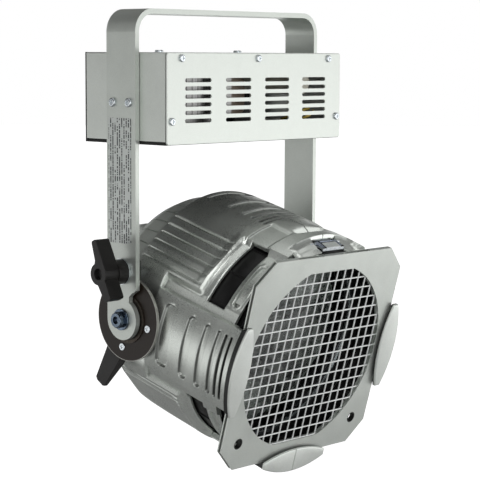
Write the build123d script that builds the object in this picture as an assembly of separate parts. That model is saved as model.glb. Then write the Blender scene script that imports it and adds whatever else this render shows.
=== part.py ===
from build123d import *
from math import sin, cos, radians, sqrt
import os

os.makedirs("parts", exist_ok=True)

# Par can lamp hanging from a yoke that also carries its ballast box.
# Origin: centre of the hanging hole on the top face of the yoke, +Z up, front of the lamp -Y.
# Millimetres.

# yoke
YOKE_W = 235.0          # outside width
YOKE_T = 4.5            # bar thickness
YOKE_B = 36.0           # bar width
YOKE_BEND_R = 20.0      # outside bend radius
HANG_R = 6.5            # hanging hole for an M12 hook clamp bolt
PIVOT_Z = -267.0        # tilt axis
TILT = 15.6             # nose down angle at rest
ARM_IN = YOKE_W / 2 - YOKE_T
ARM_OUT = YOKE_W / 2
NECK = [(-20, 27.5), (-18, 26.5), (-13, 23.8), (-9.6, 20.6), (-9.0, 17.0), (-9.0, 12.0), (-20, -4.0)]

# ballast box
BOX_L = 225.0
BOX_D = 102.0
BOX_TOP = -37.0
BOX_BOT = -115.0
SHEET = 1.2
PANEL_T = 1.5
CHASSIS_T = 1.6
SLOT_L = 32.0
SLOT_H = 3.5
SLOT_PITCH_Z = 6.87
SLOT_TOP_Z = -60.5
SLOT_PITCH_X = 50.0
BOX_SCREW_Y = 10.0
BOX_SCREW_Z = -79.7

# head, in its own axes: a = distance forward of the pivot, r = radius from the barrel axis
R_BODY = 106.5
R_FLAT = 102.6          # distance of the shoulder flats from the axis
WALL = 3.0
A_REAR = -19.0
A_WIN0 = 63.0           # windows run between these two
A_WIN1 = 90.0
A_COLLAR = 112.0
A_CHEEK0 = 20.5
A_CHEEK1 = 123.0
A_EAR = 128.0
CHEEK_HALF = 20.35      # half angle of a side panel
SIDE_X = 99.0           # recessed side face round the pivot
BAND_DEPTH = 1.6        # pressed arcs on the top, the bottom and the side panels
TOP_STARTS = [-14.5, 12.6, 31.0, 42.8, 52.3, 58.2]
TOP_WIDTHS = [12.5, 9.0, 6.0, 4.2, 2.6, 1.9]
SIDE_STARTS = [35.0, 64.0, 83.5, 98.0, 106.6, 113.2]
SIDE_WIDTHS = [13.4, 9.0, 6.5, 4.5, 3.0, 2.2]
FRAME_S = 190.0         # colour frame side
FRAME_A0 = 118.1
FRAME_A1 = 122.7
FRAME_CHAMFER = 19.5
FRAME_PLATE = 1.1
OPENING_R = 85.0
MESH_PITCH = 10.0
WIRE_D = 1.4
SLOT_A1 = 125.4         # front of the ears' slot, wide enough for a thick filter frame

# tilt brake and its clamp
DISC_R = 37.3
DISC_IN = 108.2
DISC_OUT = 110.8
KNOB_RISE = 42.0        # height of the clamp screw above the tilt axis
KNOB_Y = -1.0
STUD_R = 4.0
STUD_END = -102.6
PIVOT_R = 5.0
WASHER_T = 1.8
HEX_FLATS = 13.0
HEX_H = 5.4
HANDLE_END = -145.5     # outer face of the handle and of its two wings
HANDLE_UPPER = [(-10, -1), (-10, 27), (-8.8, 28.3), (-5.2, 28.3), (-4.2, 27), (-1.5, 12), (3, 6), (3, -1)]
HANDLE_LOWER = [(-5.5, 0), (-5.5, -23.5), (-4.3, -24.8), (1.5, -24.8), (2.7, -23.5), (4.5, -8), (9, -3)]
HANDLE_LOWER.append((9, 0))
RUN = 0.05              # radial running clearance

# top latch
LATCH_A = 106.5         # hinge pin
LATCH_UP = 100.0
LIP_A = 117.3           # front face of the lip behind the colour frame


def head(shape):
    """Put a shape built about the barrel axis in its place."""
    return Pos(0, 0, PIVOT_Z) * Rot(TILT, 0, 0) * shape


def save(shape, name):
    export_step(shape, "parts/" + name + ".step")


def union(items):
    out = items[0]
    for item in items[1:]:
        out = out + item
    return out


def rod_x(r, x0, x1, y=0.0, z=0.0):
    """Cylinder along X."""
    mid = (x0 + x1) / 2
    return Pos(mid, y, z) * Rot(0, 90, 0) * Cylinder(r, abs(x1 - x0))


def rod_y(r, y0, y1, x=0.0, z=0.0):
    """Cylinder along Y."""
    mid = (y0 + y1) / 2
    return Pos(x, mid, z) * Rot(90, 0, 0) * Cylinder(r, abs(y1 - y0))


def rod_z(r, z0, z1, x=0.0, y=0.0):
    mid = (z0 + z1) / 2
    return Pos(x, y, mid) * Cylinder(r, abs(z1 - z0))


def block(x0, x1, y0, y1, z0, z1):
    size = Box(abs(x1 - x0), abs(y1 - y0), abs(z1 - z0))
    return Pos((x0 + x1) / 2, (y0 + y1) / 2, (z0 + z1) / 2) * size


def drum(r, a0, a1):
    """Solid cylinder on the barrel axis between two forward distances."""
    return rod_y(r, -a0, -a1)


def tube(r_out, r_in, a0, a1):
    return drum(r_out, a0, a1) - drum(r_in, a0 - 1, a1 + 1)


def turned(points):
    """Solid of revolution about the barrel axis from (radius, forward) points."""
    face = make_face(Polyline([(r, -a) for r, a in points], close=True))
    return revolve(face, Axis.Y, 360)


def sector(r0, r1, a0, a1, ang0, ang1):
    """Piece of a ring; angles from straight up, positive towards +X."""
    pts = [(r0, -a0), (r1, -a0), (r1, -a1), (r0, -a1)]
    face = make_face(Polyline(pts, close=True))
    piece = revolve(face, Axis.Y, ang1 - ang0)
    return Rot(0, ang0 - 90, 0) * piece


def pan_head(r, h):
    """Pan head with a cross recess, standing on z = 0."""
    body = Pos(0, 0, h / 2) * Cylinder(r, h)
    body = fillet(body.edges().group_by(Axis.Z)[-1], h * 0.55)
    cross = Pos(0, 0, h) * Box(r * 1.1, r * 0.26, h * 1.1)
    cross = cross + Pos(0, 0, h) * Box(r * 0.26, r * 1.1, h * 1.1)
    return body - cross


def screw(r, h, shank_r, shank_l):
    """Pan head screw: head above z = 0, shank below."""
    return pan_head(r, h) + Pos(0, 0, -shank_l / 2) * Cylinder(shank_r, shank_l)


def hex_prism(flats, h):
    return extrude(RegularPolygon(flats / sqrt(3), 6), h)


# ---------------------------------------------------------------- yoke
def make_yoke():
    outer = Pos(0, 0, -150) * Box(YOKE_W, YOKE_B, 300)
    corners = outer.edges().filter_by(Axis.Y).group_by(Axis.Z)[-1]
    outer = fillet(corners, YOKE_BEND_R)
    inner = Pos(0, 0, -YOKE_T - 200) * Box(2 * ARM_IN, YOKE_B + 2, 400)
    corners = inner.edges().filter_by(Axis.Y).group_by(Axis.Z)[-1]
    inner = fillet(corners, YOKE_BEND_R - YOKE_T)
    bar = outer - inner
    below = block(-150, 150, -30, 30, PIVOT_Z, -320)
    bar = bar - (below - rod_x(YOKE_B / 2, -150, 150, 0, PIVOT_Z))
    # a relief in the front edge of each arm leaves a neck above its round end
    face = make_face(Plane.YZ * Polyline(NECK, close=True))
    relief = Pos(0, 0, PIVOT_Z) * extrude(face, 150, both=True)
    bar = bar - (relief - rod_x(YOKE_B / 2, -150, 150, 0, PIVOT_Z))
    bar = bar - rod_z(HANG_R, -10, 5)
    bar = bar - rod_x(PIVOT_R + 0.2, -150, 150, 0, PIVOT_Z)
    bar = bar - rod_x(STUD_R + RUN, -150, -100, KNOB_Y, PIVOT_Z + KNOB_RISE)
    for y in (-BOX_SCREW_Y, BOX_SCREW_Y):
        bar = bar - rod_x(2.2, -150, 150, y, BOX_SCREW_Z)
    return bar


save(make_yoke(), "yoke_bar")

yoke_screws = []
for side in (-1, 1):
    for y in (-BOX_SCREW_Y, BOX_SCREW_Y):
        s = screw(3.9, 2.2, 2.0, 9.0)
        yoke_screws.append(Pos(side * ARM_OUT, y, BOX_SCREW_Z) * Rot(0, side * 90, 0) * s)
save(Compound(children=yoke_screws), "yoke_box_screws")

label = block(-ARM_OUT - 0.25, -ARM_OUT, -12.5, 15.5, -200.5, -93)
label = fillet(label.edges().filter_by(Axis.X), 1.5)
save(label, "rating_label")

side_pads = []
for side in (-1, 1):
    pad = block(side * (BOX_L / 2), side * ARM_IN, -17, 17, BOX_BOT + 6, BOX_TOP - 4)
    for y in (-BOX_SCREW_Y, BOX_SCREW_Y):
        pad = pad - rod_x(2.2, side * 105, side * 120, y, BOX_SCREW_Z)
    side_pads.append(pad)
save(Compound(children=side_pads), "box_side_pads")

# ---------------------------------------------------------------- ballast box
half_l = BOX_L / 2
front_y = -BOX_D / 2
rear_y = BOX_D / 2
panel_in = front_y + PANEL_T

# black chassis: floor, back wall and two low side flanges
floor = block(-half_l, half_l, panel_in + 0.2, rear_y, BOX_BOT, BOX_BOT + CHASSIS_T)
back = block(-half_l, half_l, rear_y - CHASSIS_T, rear_y, BOX_BOT, BOX_TOP)
lip = block(-half_l + 2, half_l - 2, panel_in + 0.2, panel_in + 1.7, BOX_BOT, BOX_BOT + 14)
chassis = floor + back + lip
for side in (-1, 1):
    flange = block(side * (half_l - 1.4), side * (half_l - 3.0), panel_in + 1.7,
                   rear_y - CHASSIS_T, BOX_BOT, BOX_BOT + 12)
    chassis = chassis + flange
back_slots = []
for ix in range(4):
    for iz in range(6):
        x = (ix - 1.5) * SLOT_PITCH_X
        z = SLOT_TOP_Z - iz * SLOT_PITCH_Z
        slot = extrude(SlotOverall(SLOT_L, SLOT_H), 6, both=True)
        back_slots.append(Pos(x, rear_y, z) * Rot(90, 0, 0) * slot)
chassis = chassis - back_slots
GLAND_X = 92.0
GLAND_Z = -50.0
chassis = chassis - rod_y(8.2, rear_y - 5, rear_y + 5, GLAND_X, GLAND_Z)
save(chassis, "ballast_chassis")

# silver cover: top and two ends with a rolled front rim
top = block(-half_l, half_l, panel_in + 0.6, rear_y - CHASSIS_T, BOX_TOP - SHEET, BOX_TOP)
cover = top
for side in (-1, 1):
    end = block(side * half_l, side * (half_l - SHEET), panel_in + 0.6,
                rear_y - CHASSIS_T, BOX_BOT + 3.0, BOX_TOP)
    cover = cover + end
    fold = block(side * half_l, side * (half_l - 13), panel_in + 0.6,
                 panel_in + 0.6 + SHEET, BOX_BOT + 15.5, BOX_TOP)
    cover = cover + fold
fold = block(-half_l, half_l, panel_in + 0.6, panel_in + 0.6 + SHEET, BOX_TOP - 12, BOX_TOP)
cover = cover + fold
long_edges = cover.edges().filter_by(Axis.Y).group_by(Axis.Z)[-1]
cover = fillet(long_edges, 1.1)
for side in (-1, 1):
    for y in (-BOX_SCREW_Y, BOX_SCREW_Y):
        cover = cover - rod_x(2.2, side * 105, side * 120, y, BOX_SCREW_Z)
FRONT_SCREWS = [(-95, -42), (0, -42), (95, -42), (-106.6, -95), (106.6, -95)]
TOP_SCREWS = [(-104, -33), (-8, -33)]
for x, z in FRONT_SCREWS:
    cover = cover - rod_y(1.7, front_y, front_y + 5, x, z)
for x, y in TOP_SCREWS:
    cover = cover - rod_z(1.7, BOX_TOP - 3, BOX_TOP + 3, x, y)
save(cover, "ballast_cover")

panel = block(-half_l + 0.3, half_l - 0.3, front_y, panel_in, BOX_BOT + 0.3, BOX_TOP - 0.3)
panel = fillet(panel.edges().filter_by(Axis.Y), 2.0)
panel = fillet(panel.edges().group_by(Axis.Y)[0], 0.5)
slots = []
for ix in range(4):
    for iz in range(6):
        x = (ix - 1.5) * SLOT_PITCH_X
        z = SLOT_TOP_Z - iz * SLOT_PITCH_Z
        slot = extrude(SlotOverall(SLOT_L, SLOT_H), 5, both=True)
        slots.append(Pos(x, front_y, z) * Rot(90, 0, 0) * slot)
panel = panel - slots
for x, z in FRONT_SCREWS:
    panel = panel - rod_y(1.7, front_y - 2, front_y + 5, x, z)
save(panel, "ballast_front_panel")

front_screws = []
for x, z in FRONT_SCREWS:
    front_screws.append(Pos(x, front_y, z) * Rot(90, 0, 0) * screw(3.3, 1.9, 1.5, 5.0))
save(Compound(children=front_screws), "front_panel_screws")

top_screws = []
for x, y in TOP_SCREWS:
    top_screws.append(Pos(x, y, BOX_TOP) * screw(3.6, 1.9, 1.5, 4.0))
save(Compound(children=top_screws), "cover_top_screws")

# ballast: laminated core with a coil, on two feet
CORE_X0 = -97.0
CORE_X1 = -27.0
core = block(CORE_X0, CORE_X1, -44, 22, -92, -57)
foot = block(CORE_X0 + 4, CORE_X1 - 4, -40, 18, BOX_BOT + CHASSIS_T, -92)
core_laminations = []
for i in range(9):
    x = CORE_X0 + 7 + i * 7
    core_laminations.append(block(x, x + 0.8, -46, -43.2, -93, -56))
core = core + foot - core_laminations
save(core, "ballast_core")
coil = block(CORE_X1, CORE_X1 + 21, -40, 18, -90, -59)
coil = fillet(coil.edges().filter_by(Axis.Y), 5.0)
save(coil, "ballast_coil")
ignitor = block(8, 36, -14, 26, BOX_BOT + CHASSIS_T, -80)
ignitor = fillet(ignitor.edges().filter_by(Axis.Z), 3.0)
save(ignitor, "ignitor")
capacitor = rod_y(10.5, -43, 30, 68, -64)
capacitor = fillet(capacitor.edges(), 1.5)
save(capacitor, "capacitor")
clip = Pos(68, 0, -64) * tube(13, 10.5, -29.5, -23.5)
clip_foot = block(61, 75, 23.5, 29.5, BOX_BOT + CHASSIS_T, -74)
clip = clip + (clip_foot - rod_y(10.5, 20, 32, 68, -64))
save(clip, "capacitor_clip")

terminal = block(46, 92, 4, 22, BOX_BOT + CHASSIS_T, -98)
for i in range(5):
    x = 51 + i * 9
    terminal = terminal - rod_z(2.2, -103, -95, x, 13)
save(terminal, "terminal_block")
term_screws = []
for i in range(5):
    x = 51 + i * 9
    term_screws.append(rod_z(2.1, -103, -99.6, x, 13))
save(Compound(children=term_screws), "terminal_screws")


def wire(points, r):
    path = Spline(points)
    start = path @ 0
    face = Plane(origin=start, z_dir=path % 0) * Circle(r)
    return sweep(face, path=path)


live = [wire([(60, 2.2, -105), (60.5, -12, -103), (66, -38, -91), (78, -40, -88), (86, -20, -93)], 1.3)]
live.append(wire([(69, 2.2, -105), (70, -14, -102), (74, -43, -95), (87, -40, -90)], 1.3))
save(Compound(children=live), "inner_wires_yellow")
neutral = [wire([(51, 2.2, -105), (50, -12, -107), (34, -36, -106), (4, -34, -100)], 1.3)]
neutral.append(wire([(78, 2.2, -105), (77, -10, -107), (64, -30, -107), (58, -44, -92)], 1.3))
save(Compound(children=neutral), "inner_wires_brown")

gland = Pos(GLAND_X, rear_y, GLAND_Z) * Rot(-90, 0, 0) * hex_prism(20, 5)
gland = gland + rod_y(9.0, rear_y + 5, rear_y + 12, GLAND_X, GLAND_Z)
gland = gland + rod_y(8.0, rear_y - 6, rear_y, GLAND_X, GLAND_Z)
gland = gland - rod_y(4.2, rear_y - 10, rear_y + 20, GLAND_X, GLAND_Z)
save(gland, "mains_gland")
lock_nut = Pos(GLAND_X, rear_y - CHASSIS_T, GLAND_Z) * Rot(90, 0, 0) * hex_prism(20, 3)
lock_nut = lock_nut - rod_y(8.05, rear_y - 10, rear_y + 5, GLAND_X, GLAND_Z)
save(lock_nut, "gland_lock_nut")

# ---------------------------------------------------------------- pivots on the yoke
bolts = []
washers = []
nuts = []
spacers = []
for side in (-1, 1):
    seat_x = ARM_OUT + WASHER_T
    hexa = Pos(side * seat_x, 0, PIVOT_Z) * Rot(0, side * 90, 0) * hex_prism(HEX_FLATS, HEX_H)
    dome = rod_x(7.0, side * seat_x, side * (seat_x + HEX_H), 0, PIVOT_Z)
    dome = chamfer(dome.edges().group_by(Axis.X)[0 if side < 0 else -1], 1.0)
    shaft = rod_x(PIVOT_R, side * seat_x, side * 84.0, 0, PIVOT_Z)
    socket = rod_x(3.4, side * (seat_x + HEX_H - 2.4), side * (seat_x + HEX_H + 1), 0, PIVOT_Z)
    bolts.append((hexa & dome) + shaft - socket)
    ring = rod_x(9.4, side * ARM_OUT, side * seat_x, 0, PIVOT_Z)
    washers.append(ring - rod_x(PIVOT_R, -150, 150, 0, PIVOT_Z))
    nut = Pos(side * 86.0, 0, PIVOT_Z) * Rot(0, side * 90, 0) * hex_prism(16.5, 8.0)
    nuts.append(nut - rod_x(PIVOT_R, -150, 150, 0, PIVOT_Z))
    pad = rod_x(18.5, side * (DISC_OUT + 1.6), side * ARM_IN, 0, PIVOT_Z)
    spacers.append(pad - rod_x(PIVOT_R, -150, 150, 0, PIVOT_Z))
save(Compound(children=bolts), "pivot_bolts")
save(Compound(children=washers), "pivot_washers")
save(Compound(children=nuts), "pivot_nuts")
save(Compound(children=spacers), "pivot_spacers")

# clamp shoe behind the left arm: a block the screw pulls onto the rim of the disc
knob_z = PIVOT_Z + KNOB_RISE
shoe = block(-ARM_IN, -103.4, KNOB_Y - 8.5, KNOB_Y + 8.5, knob_z - 10, knob_z + 9)
shoe = shoe - block(-DISC_OUT - 0.5, -DISC_IN + 0.5, -20, 20, knob_z - 20, knob_z - 4.3)
shoe = shoe - rod_x(STUD_R + RUN, -120, -100, KNOB_Y, knob_z)
save(shoe, "clamp_shoe")

# ---------------------------------------------------------------- tilt clamp handle
def wing(outline):
    face = make_face(Plane.YZ * Polyline(outline, close=True))
    return Pos(HANDLE_END, 0, 0) * extrude(face, 15.5, dir=(1, 0, 0))


handle = union([rod_x(9.5, HANDLE_END, -129), rod_x(10.8, -130, -119.6)])
handle = handle + wing(HANDLE_UPPER) + wing(HANDLE_LOWER)
handle = handle - rod_x(5.0, HANDLE_END - 1, HANDLE_END + 3.5)
handle = Pos(0, KNOB_Y, knob_z) * Rot(-26, 0, 0) * handle
stud_hole = rod_x(STUD_R, -140, -110, KNOB_Y, knob_z)
handle = handle - stud_hole
save(handle, "tilt_handle")
stud = rod_x(STUD_R, -140, STUD_END, KNOB_Y, knob_z)
save(stud, "tilt_handle_stud")
clamp_washer = rod_x(11.2, -119.5, -ARM_OUT - 0.3, KNOB_Y, knob_z)
clamp_washer = clamp_washer - stud_hole
save(clamp_washer, "tilt_handle_washer")

# ---------------------------------------------------------------- head shell
def barrel(grow, a0, a1):
    """Outer form of the barrel: round with four shoulder flats."""
    pts = [(0, a0), (104.6 + grow, a0), (105.6 + grow, a0 + 9), (106.2 + grow, a0 + 24)]
    pts += [(R_BODY + grow, a0 + 40), (R_BODY + grow, a1), (0, a1)]
    form = turned(pts)
    for ang in (44.5, 135.5, 224.5, 315.5):
        cut = Rot(0, ang, 0) * block(-80, 80, -a0 + 1, -a1 - 1, R_FLAT + grow, R_FLAT + 40)
        form = form - cut
    return form


def band_row(centre, starts, widths, half_span):
    """Shallow arc recesses side by side along the barrel."""
    cuts = []
    for a0, w in zip(starts, widths):
        cut = sector(R_BODY - BAND_DEPTH, R_BODY + 5, a0, a0 + w, centre - half_span, centre + half_span)
        cuts.append(cut)
    return cuts


hood = barrel(0, A_REAR, A_WIN0) - barrel(-WALL, A_REAR - 0.01, A_WIN0 + 0.01)
collar_full = tube(R_BODY, 100.0, A_WIN0, A_COLLAR)
cuts = []
for ang in (0, 90, 180, 270):
    w0 = ang + 28.5 if ang in (0, 180) else ang + 24.7
    w1 = ang + 65.3 if ang in (0, 180) else ang + 61.5
    cuts.append(sector(98.5, 112, A_WIN0, A_WIN1, w0, w1))
collar = collar_full - cuts
# the struts between hood and collar stand a little lower than both
lower = []
for ang in (0, 180):
    for s in (-1, 1):
        lo = ang + min(s * 13, s * 28.6)
        hi = ang + max(s * 13, s * 28.6)
        lower.append(sector(105.2, 112, A_WIN0 + 0.6, A_WIN1 - 2, lo, hi))
collar = collar - lower
shell = hood + collar

# side panels and the recess round each pivot
for ang in (90, 270):
    shell = shell - sector(90, 120, A_REAR - 1, A_COLLAR + 1, ang - 26.2, ang + 26.2)
    base = sector(98.8, 101.6, A_CHEEK0, A_COLLAR, ang - 26.6, ang + 26.6)
    cheek = sector(98.8, R_BODY, A_CHEEK0, A_CHEEK1, ang - CHEEK_HALF, ang + CHEEK_HALF)
    shell = shell + base + cheek
for side in (-1, 1):
    plate = block(side * (SIDE_X - 3.5), side * SIDE_X, -A_REAR, -A_CHEEK0, -46, 46)
    shell = shell + plate
    shell = shell + rod_x(20.0, side * (SIDE_X - 3.5), side * DISC_IN)
    inner = block(side * 60, side * (SIDE_X - 3.5), -A_REAR, -A_CHEEK0 - 1, -40, 40)
    shell = shell - inner

# recessed arcs on the top, the bottom and the side panels
for ang in (0, 180):
    shell = shell - band_row(ang, TOP_STARTS, TOP_WIDTHS, 15.6)
for ang in (90, 270):
    shell = shell - band_row(ang, SIDE_STARTS, SIDE_WIDTHS, 15.4)

# lengthwise grooves on the upper shoulders, fine ones on the lower
grooves = []
for ang, s in ((44.5, 1), (315.5, -1)):
    for i in range(6):
        t = s * (-17.5 + 9.2 * i)
        g = rod_y(1.9, -A_REAR - 2.5, -(A_WIN0 - 4), t, R_FLAT + 0.6)
        grooves.append(Rot(0, ang, 0) * g)
for side in (-1, 1):
    for off in (30.2, 32.8, 35.2):
        g = rod_y(1.1, -A_REAR - 2.5, -(A_WIN0 - 4), 0, R_BODY - 0.1)
        grooves.append(Rot(0, side * (90 + off), 0) * g)
shell = shell - grooves

# embossed slots and front corner gaps in the collar
for ang in (0, 180):
    for s in (-1, 1):
        lo = ang + min(s * 38, s * 61)
        hi = ang + max(s * 38, s * 61)
        shell = shell - sector(103.4, 112, 95.5, 101.5, lo, hi)
        lo = ang + min(s * 54, s * 69)
        hi = ang + max(s * 54, s * 69)
        shell = shell - sector(98.4, 112, 107.5, A_COLLAR + 1, lo, hi)

# shallow valley across the seam where hood and tongue meet
for ang in (0, 180):
    pts = [(78, 107.5), (87, 102.4), (96, 107.5)]
    face = make_face(Plane.YZ * Polyline([(-a, r) for a, r in pts], close=True))
    dip = extrude(face, 19, both=True)
    shell = shell - Rot(0, ang, 0) * dip

# sloping apron from the tongue down to the frame seat, top and bottom
for ang in (0, 180):
    pts = [(97.2, 111.0), (104.5, 111.0), (104.5, 112.0), (98.2, 117.6), (97.2, 117.6)]
    face = make_face(Polyline([(r, -a) for r, a in pts], close=True))
    apron = Rot(0, ang - 25.5 - 90, 0) * revolve(face, Axis.Y, 51)
    shell = shell + apron
shell = shell - block(-15.5, 15.5, -103.0, -119, 96.8, 110)
shell = shell - rod_x(1.1, -18.5, 18.5, -LATCH_A, LATCH_UP)

# ears that hold the colour frame: left, right and below
def ear():
    line1 = ThreePointArc((-40, 93.6), (0, 86.5), (40, 93.6))
    line2 = Line((40, 93.6), (40, 99.5))
    line3 = ThreePointArc((40, 99.5), (0, 108.2), (-40, 99.5))
    line4 = Line((-40, 99.5), (-40, 93.6))
    face = make_face(Plane.XZ * (line1 + line2 + line3 + line4))
    body = extrude(face, A_EAR - A_CHEEK1)
    body = Pos(0, -A_CHEEK1, 0) * body
    return fillet(body.edges().group_by(Axis.Y)[0], 1.4)


for ang in (90, 180, 270):
    shell = shell + Rot(0, ang, 0) * ear()
# wall behind the bottom ear
shell = shell + sector(97.0, R_BODY, A_COLLAR - 2, A_CHEEK1, 162, 198)
# room for the colour frame
room = block(-FRAME_S / 2 - 0.6, FRAME_S / 2 + 0.6, -117.65, -SLOT_A1,
             -FRAME_S / 2 - 0.4, FRAME_S)
shell = shell - room
for side in (-1, 1):
    shell = shell - rod_x(PIVOT_R + RUN, side * 80, side * 120)

# parting line of the two castings
groove = tube(120, 105.7, A_REAR - 1, A_EAR + 1) & block(-0.45, 0.45, 40, -140, -120, 120)
shell = shell - groove - block(-0.45, 0.45, -A_EAR + 0.8, -A_EAR - 1, -120, -80)
left = shell & block(-130, 0, 60, -140, -130, 130)
right = shell & block(0, 130, 60, -140, -130, 130)
save(head(left), "shell_left")
save(head(right), "shell_right")

# black seat ring in front of the lens, carrying the frame
seat = tube(96.6, 92.5, 95.5, 117.6) + tube(96.6, 86.0, 114.6, 117.6)
ridges = []
for i in range(7):
    ridges.append(tube(98, 95.9, 97.5 + i * 2.4, 98.5 + i * 2.4))
seat = seat - ridges
tabs = []
for ang in (30, 90, 150, 210, 270, 330):
    r_tab = 98.8 if ang in (90, 270) else 100.0
    tabs.append(sector(96.0, r_tab, 100.0, 104.0, ang - 4, ang + 4))
seat = union([seat] + tabs)
save(head(seat), "front_seat_ring")

# ---------------------------------------------------------------- rear housing
prof = [(99.3, -19.0), (95.0, -19.4), (93.2, -33), (89.5, -45), (83.0, -54.5), (74, -61.5)]
prof += [(60, -66.5), (44, -69.0)]
inner = [(44, -66.0), (59, -63.6), (72, -59.0), (80.5, -52.2), (86.6, -43.5), (90.2, -32)]
inner += [(92.0, -12.5), (99.3, -12.5)]
dome = turned(prof + inner)
for side in (-1, 1):
    dome = dome - block(side * (SIDE_X - 3.5), side * 120, 20.1, 10, -60, 60)
fins = []
FIN_N = 44
groove_out = [(101, -22.0), (96.5, -22.0), (94.8, -34), (91.2, -46.3), (84.2, -56.3), (74.8, -63.4)]
groove_out += [(60.4, -68.4), (52, -71.0)]
groove_in = [(52, -66.6), (60, -65.1), (73.2, -60.4), (81.8, -53.4), (88.0, -44.4), (91.7, -32.6)]
groove_in += [(93.4, -22.0)]
skin = turned(groove_out + groove_in)
plates = []
for i in range(FIN_N // 2):
    ang = 360 / FIN_N * (i + 0.5)
    plates.append(Rot(0, ang, 0) * block(-0.7, 0.7, 15, 80, -110, 110))
for plate in plates:
    fins.append(skin & plate)
dome = dome - fins
save(head(dome), "rear_housing")

can = turned([(0, -69.2), (42.0, -69.2), (42.0, -106), (39.5, -112.0), (0, -112.0)])
hollow = turned([(0, -60), (38.5, -60), (38.5, -104), (36.5, -109), (0, -109)])
can = can - hollow
can = can + turned([(38.5, -66.2), (43.6, -66.2), (43.6, -72.5), (38.5, -72.5)])
vents = []
for i in range(12):
    vents.append(Rot(0, 30 * i + 15, 0) * block(-1.6, 1.6, 78, 98, 36, 46))
can = can - vents
can = can - Pos(0, 0, -20) * rod_y(7.2, 100, 120)
CAP_SCREW_ANGLES = (0, 120, 240)
for ang in CAP_SCREW_ANGLES:
    can = can - Rot(0, ang, 0) * rod_y(1.7, 105, 115, 0, 30)
save(head(can), "rear_cap")
cap_screws = []
for ang in CAP_SCREW_ANGLES:
    s = Pos(0, 112, 30) * Rot(-90, 0, 0) * screw(3.4, 2.0, 1.6, 2.0)
    cap_screws.append(Rot(0, ang, 0) * s)
save(head(Compound(children=cap_screws)), "rear_cap_screws")
inlet = Pos(0, 112, -20) * Rot(-90, 0, 0) * hex_prism(16, 4)
inlet = inlet + rod_y(7.2, 118, 122, 0, -20) + rod_y(7.0, 105, 116, 0, -20)
inlet = inlet + rod_y(7.6, 116, 121, 0, -20)
inlet = inlet - rod_y(3.6, 100, 130, 0, -20)
save(head(inlet), "lamp_cable_gland")

# ---------------------------------------------------------------- optics
F4 = 82.6
A_REF = -40.0


def dish(offset, a0, a1, n):
    pts = []
    for i in range(n + 1):
        a = a0 + (a1 - a0) * (i / n) ** 1.6
        pts.append((sqrt(F4 * (a - A_REF)) + offset, a))
    return pts


front_line = dish(0.0, -36.0, 58.0, 14)
back_line = dish(1.3, -36.0, 58.0, 14)
mirror = turned(front_line + back_line[::-1])
mirror = mirror + tube(96.5, 88.0, 57.0, 58.6)
save(head(mirror), "reflector")
holder = drum(15.0, -62, -39) + tube(28, 14.5, -58, -54)
holder = holder - drum(5.0, -70, -60) - drum(8.1, -48, -38)
save(head(holder), "lamp_holder")
legs = []
for ang in (45, 135, 225, 315):
    leg = Rot(0, ang, 0) * block(-3, 3, 58, 66.1, 20, 28)
    leg = leg + Rot(0, ang, 0) * block(-3, 3, 64.8, 66.1, 20, 43.6)
    legs.append(leg)
save(head(Compound(children=legs)), "lamp_holder_legs")
base = drum(8.0, -48, -34)
save(head(base), "lamp_base")
dome = Pos(0, -14, 0) * (Sphere(9.5) - Sphere(8.5)) & block(-20, 20, -14, -40, -20, 20)
bulb = tube(9.5, 8.5, -34, 14) + dome
save(head(bulb), "lamp_glass")
arc = drum(3.4, -14, 4) + drum(1.3, -34, -14) + drum(1.3, 4, 9)
save(head(arc), "arc_tube")

# rotating lens in its black ring
ring = tube(97.2, 88.0, 65.5, 92.0) - drum(92.2, 78.5, 93.0)
grips = []
for i in range(21):
    grips.append(Rot(0, 360 / 21 * i + 5.0, 0) * block(-0.8, 0.8, -66.5, -91.5, 96.5, 98.0))
ring = union([ring] + grips)
save(head(ring), "lens_ring")
LENS_R = 1180.0
lens = drum(92.0, 78.5, 82.0)
bulge = Pos(0, -84.9 + LENS_R, 0) * Sphere(LENS_R) & drum(84, 81.9, 90)
save(head(lens + bulge), "lens")
wire_ring = tube(92.2, 90.0, 82.0, 84.2)
wire_ring = wire_ring - sector(89, 93, 81, 86, -3, 3)
save(head(wire_ring), "lens_retaining_ring")

# ---------------------------------------------------------------- brake discs and grip
discs = []
disc_screws = []
for side in (-1, 1):
    disc = rod_x(DISC_R, side * DISC_IN, side * DISC_OUT)
    disc = disc + rod_x(21.5, side * DISC_OUT, side * (DISC_OUT + 1.1))
    disc = disc - rod_x(PIVOT_R + RUN, side * 100, side * 120)
    for ang in (104, 194, 284):
        t = radians(ang - TILT)
        y = 26.3 * cos(t)
        z = 26.3 * sin(t)
        disc = disc - rod_x(1.9, side * 100, side * 120, y, z)
        s = Rot(0, side * 90, 0) * screw(3.4, 0.9, 1.8, 2.2)
        disc_screws.append(Pos(side * DISC_OUT, y, z) * s)
    discs.append(disc)
save(head(discs[0]), "brake_disc_left")
save(head(discs[1]), "brake_disc_right")
save(head(Compound(children=disc_screws)), "disc_screws")

lever_hub = rod_x(25.0, -SIDE_X - 0.3, -DISC_IN) - rod_x(20.0, -120, -90)
outline = [(-12, -15), (-6.8, -72), (-4.5, -73.5), (4.5, -73.5), (6.8, -72), (12, -15)]
face = make_face(Plane.YZ * Polyline(outline, close=True))
blade = Pos(-DISC_IN, 0, 0) * extrude(face, 11)
wedge_pts = [(-104.6, -75), (-104.6, -72), (-99.3, -46), (-99.3, -14), (-90, -14), (-90, -75)]
wedge = extrude(make_face(Plane.XZ * Polyline(wedge_pts, close=True)), 20, both=True)
blade = blade - wedge - rod_x(20.0, -120, -90)
lever = lever_hub + blade
lever = Rot(32.2 - TILT, 0, 0) * lever
lever = lever - block(-120, -90, -14, -40, -60, 60)
save(head(lever), "tilt_grip")

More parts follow.
